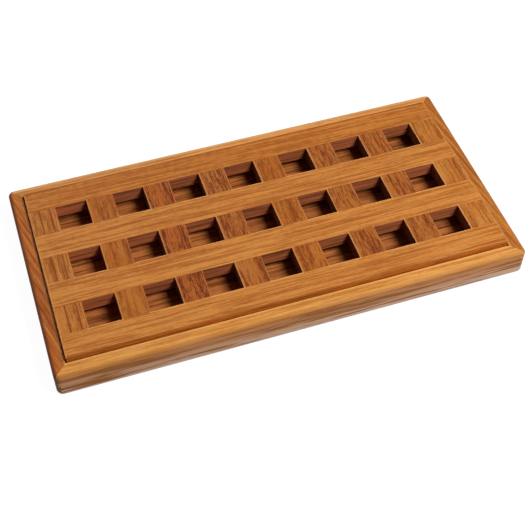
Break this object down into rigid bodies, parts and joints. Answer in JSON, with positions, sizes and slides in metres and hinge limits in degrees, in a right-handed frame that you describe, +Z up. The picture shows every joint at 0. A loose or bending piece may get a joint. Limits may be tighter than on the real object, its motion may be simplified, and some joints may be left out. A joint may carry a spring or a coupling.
{
  "type": "bread board",
  "caption": "Rectangular wooden bread board: a low mitred tray that catches crumbs under a loose lift-out grille of halved bars with rows of square holes.",
  "frame": {"origin": "middle of the underside that the board stands on", "axes": "+X along the board's length, +Y from its front to its back, +Z up"},
  "size_m": [0.3708, 0.19, 0.0284],
  "materials": {
    "frame_teak": "golden brown hardwood, oiled, satin, grain along the rail",
    "grille_rail_teak": "mid brown hardwood, oiled, satin, grain along the rail",
    "grille_bar_teak": "reddish brown hardwood, oiled, satin, grain along the bar, some with mottled figure",
    "floor_teak": "mid brown hardwood panel, dull, streaky grain along the board",
    "spline_beech": "pale hardwood, unfinished, hidden in the joints"
  },
  "bodies": {
    "tray": {"frame_rail_front": "frame_teak", "frame_rail_right": "frame_teak", "frame_rail_back": "frame_teak", "frame_rail_left": "frame_teak", "mitre_spline_front_left": "spline_beech", "mitre_spline_front_right": "spline_beech", "mitre_spline_back_left": "spline_beech", "mitre_spline_back_right": "spline_beech", "crumb_floor": "floor_teak"},
    "grille": {"grille_rail_front": "grille_rail_teak", "grille_rail_inner_1": "grille_rail_teak", "grille_rail_inner_2": "grille_rail_teak", "grille_rail_back": "grille_rail_teak", "grille_bar_1": "grille_bar_teak", "grille_bar_2": "grille_bar_teak", "grille_bar_3": "grille_bar_teak", "grille_bar_4": "grille_bar_teak", "grille_bar_5": "grille_bar_teak", "grille_bar_6": "grille_bar_teak", "grille_bar_7": "grille_bar_teak", "grille_bar_8": "grille_bar_teak"}
  },
  "joints": [
    {"name": "grille_lift", "type": "slide", "parent": "tray", "child": "grille", "axis": [0, 0, 1], "range_m": [0, 0.04]}
  ]
}
